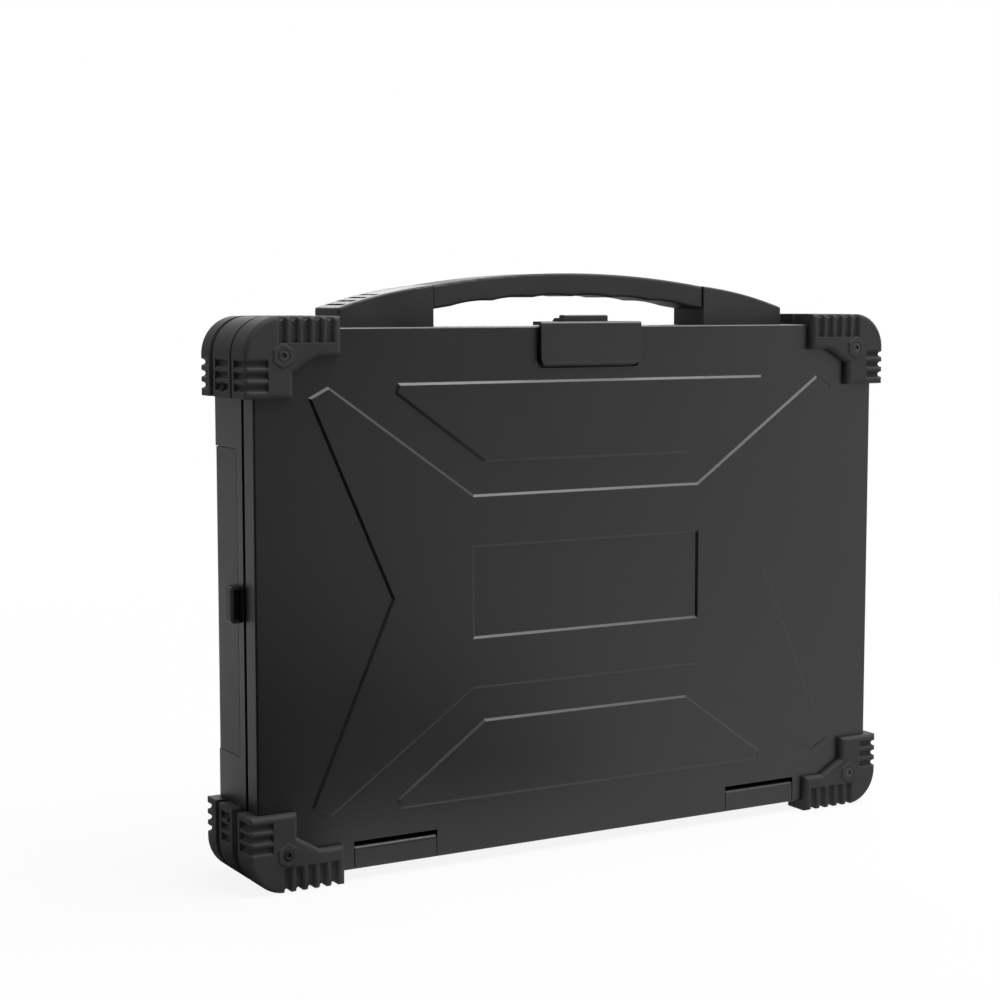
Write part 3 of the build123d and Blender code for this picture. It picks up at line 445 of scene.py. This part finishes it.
rivetLook = {
    # domed heads on the latch's strip
    "headHeight": 0.0007,
    "headToShank": 1.5,  # the head's radius over the shank's
    "domeAngles": (0, 0.35, 0.7, 1.05, 1.35),
}


def buildRivets(values):
    shape = bmesh.new()
    head = values["headHeight"]
    for low, high in solidBoxes("latch_rivets"):
        radius, half = (high.x - low.x) / 2, (high.z - low.z) / 2
        shank, seat = radius / values["headToShank"], half - head
        dome = [circle(radius * math.cos(a), seat + head * math.sin(a)) for a in values["domeAngles"]]
        addRings(shape, [circle(shank, -half), circle(shank, seat)] + dome, Matrix.Translation((low + high) / 2))
    asPiece("latch_rivets_look", shape, "latch", "latch_rivets")


buildScrews()
buildRivets(rivetLook)
print("screws and rivets")


springLook = {
    # the latch's spring, wound round its pin
    "wire": 0.00033,
    "clearance": 0.000055,
    "turns": 24.5,
    "turnSteps": 24,
    "wireSides": 8,
    "legs": (0.0034, 0.003),  # towards the plate, and into the lid
    "smooth": 60.0,
}


def buildSpring(values):
    low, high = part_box("latch_spring")
    middle = (low + high) / 2
    wire, turns = values["wire"], values["turns"]
    radius = (high.y - low.y) / 2 - values["clearance"] - wire
    start, run = low.x + wire, high.x - low.x - 2 * wire
    path = [Vector((start, middle.y - values["legs"][0], middle.z + radius))]
    steps = int(turns) * values["turnSteps"]
    for i in range(steps + 1):
        angle = math.pi / 2 - 2 * math.pi * turns * i / steps
        path.append(Vector((
            start + run * i / steps, middle.y + radius * math.cos(angle), middle.z + radius * math.sin(angle))))
    last = path[-1]
    path.append(Vector((last.x, middle.y - values["legs"][1], last.z)))
    around = [2 * math.pi * k / values["wireSides"] for k in range(values["wireSides"])]
    rings = []
    for i, point in enumerate(path):
        along = (path[min(i + 1, len(path) - 1)] - path[max(i - 1, 0)]).normalized()
        side = along.cross(Vector((1, 0, 0))).normalized()
        other = along.cross(side)
        rings.append([point + wire * (math.cos(a) * side + math.sin(a) * other) for a in around])
    shape = bmesh.new()
    addRings(shape, rings, Matrix.Identity(4))
    asPiece("latch_spring_look", shape, "lid", "latch_spring", values["smooth"])


buildSpring(springLook)
print("spring")


lidFoam = {
    # a sheet with crests, with a gap in its upper edge for the latch
    "pitch": 0.03,
    "crest": 0.0045,
    "edge": 0.004,
    "cell": 0.0038,
    "sameLine": 0.00001,
    "smooth": 50.0,
    "fill": 0.8,
}


def evenSteps(low, high, size):
    count = max(1, round((high - low) / size))
    return [low + (high - low) * i / count for i in range(count + 1)]


def buildLidFoam(values):
    low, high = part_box("lid_foam")
    points = [vertex.co for vertex in nodes["lid_foam"].data.vertices]
    gapX = min(abs(point.x) for point in points)
    gapZ = min(point.z for point in points if abs(abs(point.x) - gapX) < values["sameLine"])
    columns = evenSteps(low.x, -gapX, values["cell"])[:-1] + evenSteps(-gapX, gapX, values["cell"])
    columns += evenSteps(gapX, high.x, values["cell"])[1:]
    rows = evenSteps(low.z, gapZ, values["cell"]) + evenSteps(gapZ, high.z, values["cell"])[1:]

    def face(x, z):
        wave = math.cos(2 * math.pi * x / values["pitch"]) * math.cos(2 * math.pi * (z - low.z) / values["pitch"])
        rim = min(x - low.x, high.x - x, z - low.z, high.z - z)
        if z > gapZ - values["edge"]:
            rim = min(rim, math.hypot(max(0, abs(x) - gapX), max(0, gapZ - z)))
        soft = 1 - min(1, rim / values["edge"])
        return high.y - values["crest"] * (0.5 - 0.5 * wave) * (1 - soft) - 0.5 * values["crest"] * soft * soft

    shape = bmesh.new()
    made = {(i, j): shape.verts.new((x, face(x, z), z)) for i, x in enumerate(columns) for j, z in enumerate(rows)}
    for i in range(len(columns) - 1):
        for j in range(len(rows) - 1):
            midX, midZ = (columns[i] + columns[i + 1]) / 2, (rows[j] + rows[j + 1]) / 2
            if abs(midX) < gapX and midZ > gapZ:
                continue
            shape.faces.new([made[i, j], made[i + 1, j], made[i + 1, j + 1], made[i, j + 1]])
    bmesh.ops.delete(shape, geom=[v for v in shape.verts if not v.link_faces], context="VERTS")
    grown = bmesh.ops.extrude_face_region(shape, geom=shape.faces[:])
    for item in grown["geom"]:
        if isinstance(item, bmesh.types.BMVert):
            item.co.y = low.y
    piece = asPiece("lid_foam_look", shape, "lid", "lid_foam", values["smooth"])


baseFoam = {
    # plain pieces with softened edges
    "edge": 0.0015,
    "segments": 3,
    "flatAngle": 0.02,
    "sharpAngle": 0.5,
    "smooth": 50.0,
    "fill": 0.9,
}


def buildBaseFoam(values):
    for node in ("back_foam", "top_foam", "bottom_foam", "left_foam", "right_foam"):
        shape = nodeShape(node)
        bmesh.ops.dissolve_limit(shape, angle_limit=values["flatAngle"], verts=shape.verts, edges=shape.edges)
        shared = [edge for edge in shape.edges if len(edge.link_faces) == 2]
        sharp = [edge for edge in shared if edge.calc_face_angle() > values["sharpAngle"]]
        bmesh.ops.bevel(
            shape, geom=sharp, offset=values["edge"], segments=values["segments"], profile=0.5, affect="EDGES",
            clamp_overlap=True)
        piece = asPiece(node + "_look", shape, "base", node, values["smooth"])


buildLidFoam(lidFoam)
buildBaseFoam(baseFoam)
print("foam")


studio = {
    "floorSize": 8.0,
    "floorShade": 0.7,
    "floorMottle": (6.0, 0.01),  # scale and depth
    "floorRoughness": 0.8,
    "floorWhite": (0.89, 0.3, 1.1),  # share of plain white near the case, and where it starts and stops growing
    "worldShade": 0.22,
    "cards": {
        # black cards that only reflections see: place, turn, tilt from lying flat, width, depth
        "frontCard": ((-0.75, -2.0, 1.0), -20.5, 90.0, 6.4, 2.0),
        "backCard": ((-1.9, 1.9, 0.8), -135.0, 90.0, 2.6, 1.6),
        "frontTable": ((-1.2, -1.25, 0.002), 0.0, 0.0, 2.6, 2.2),
        "backTable": ((-1.39, 0.418, 0.002), 26.0, 0.0, 1.8, 2.4),
    },
    "lamps": {
        # name: place, aim, width, height, watts
        "overhead": ((0.55, -0.45, 1.9), (0.0, 0.0, 0.2), 2.0, 1.4, 60.0),
        "rightFront": ((2.2, -1.6, 0.9), (0.0, 0.0, 0.15), 1.2, 1.6, 3.0),
        "backLeft": ((-1.9, 1.6, 0.9), (-0.1, 0.0, 0.15), 1.2, 1.6, 4.0),
        "backRight": ((0.9, 2.0, 1.1), (0.0, 0.0, 0.2), 1.4, 0.8, 14.0),
    },
}


def addPlane(name, width, depth, material, where):
    half, deep = width / 2, depth / 2
    mesh = bpy.data.meshes.new(name)
    mesh.from_pydata([(-half, -deep, 0), (half, -deep, 0), (half, deep, 0), (-half, deep, 0)], [], [(0, 1, 2, 3)])
    mesh.materials.append(material)
    plane = bpy.data.objects.new(name, mesh)
    plane.matrix_world = where
    bpy.context.scene.collection.objects.link(plane)
    return plane


def buildStudio(values):
    bpy.context.scene.view_settings.view_transform = "Standard"
    recipe = newRecipe("studioFloor")
    scale, depth = values["floorMottle"]
    shade = recipe.noise(scale) * depth + values["floorShade"]
    ground = recipe.principled({
        "Base Color": recipe.blend(shade, grey(0.0), grey(1.0)), "Roughness": values["floorRoughness"]})
    share, start, stop = values["floorWhite"]
    away = recipe.add("ShaderNodeVectorMath", {"operation": "LENGTH"}, {0: recipe.place()}, output="Value")
    white = recipe.ramp(away, start, stop) * (1 - share) + share
    glow = recipe.add("ShaderNodeEmission", {}, {"Color": grey(1.0), "Strength": 1.0})
    mixed = recipe.add("ShaderNodeMixShader", {}, {0: recipe.onStage() * white, 1: ground, 2: glow})
    addPlane("floor", values["floorSize"], values["floorSize"], recipe.finish(mixed), Matrix.Identity(4))

    recipe = newRecipe("blackCard")
    black = recipe.finish(recipe.principled({"Base Color": grey(0.0), "Roughness": 1.0, "Specular IOR Level": 0.0}))
    for name, (place, turn, tilt, width, depth) in values["cards"].items():
        spin = Matrix.Rotation(math.radians(turn), 4, "Z") @ Matrix.Rotation(math.radians(tilt), 4, "X")
        card = addPlane(name, width, depth, black, Matrix.Translation(place) @ spin)
        card.visible_camera = card.visible_diffuse = card.visible_transmission = card.visible_shadow = False

    recipe = Recipe(bpy.data.worlds.new("studio"))
    strength = recipe.onStage() * (1 - values["worldShade"]) + values["worldShade"]
    background = recipe.add("ShaderNodeBackground", {}, {"Color": grey(1.0), "Strength": strength})
    bpy.context.scene.world = recipe.finish(background, "ShaderNodeOutputWorld")

    for name, (place, aim, width, height, watts) in values["lamps"].items():
        lamp = bpy.data.lights.new(name, "AREA")
        lamp.shape = "RECTANGLE"
        lamp.size, lamp.size_y, lamp.energy = width, height, watts
        holder = bpy.data.objects.new(name, lamp)
        holder.location = place
        holder.rotation_euler = (Vector(aim) - Vector(place)).to_track_quat("-Z", "Y").to_euler()
        bpy.context.scene.collection.objects.link(holder)


viewpoint = {
    "place": (-0.5974, -0.9634, 0.3041),
    "turn": 29.97,
    "downward": 5.62,
    "lens": 72.45,
    "sensor": 36.0,
}


def placeCamera(values):
    camera = bpy.data.cameras.new("camera")
    camera.lens = values["lens"]
    camera.sensor_width = values["sensor"]
    holder = bpy.data.objects.new("camera", camera)
    holder.location = values["place"]
    holder.rotation_euler = (math.radians(90 - values["downward"]), 0, math.radians(-values["turn"]))
    bpy.context.scene.collection.objects.link(holder)
    bpy.context.scene.camera = holder


buildStudio(studio)
placeCamera(viewpoint)
print("studio and camera")
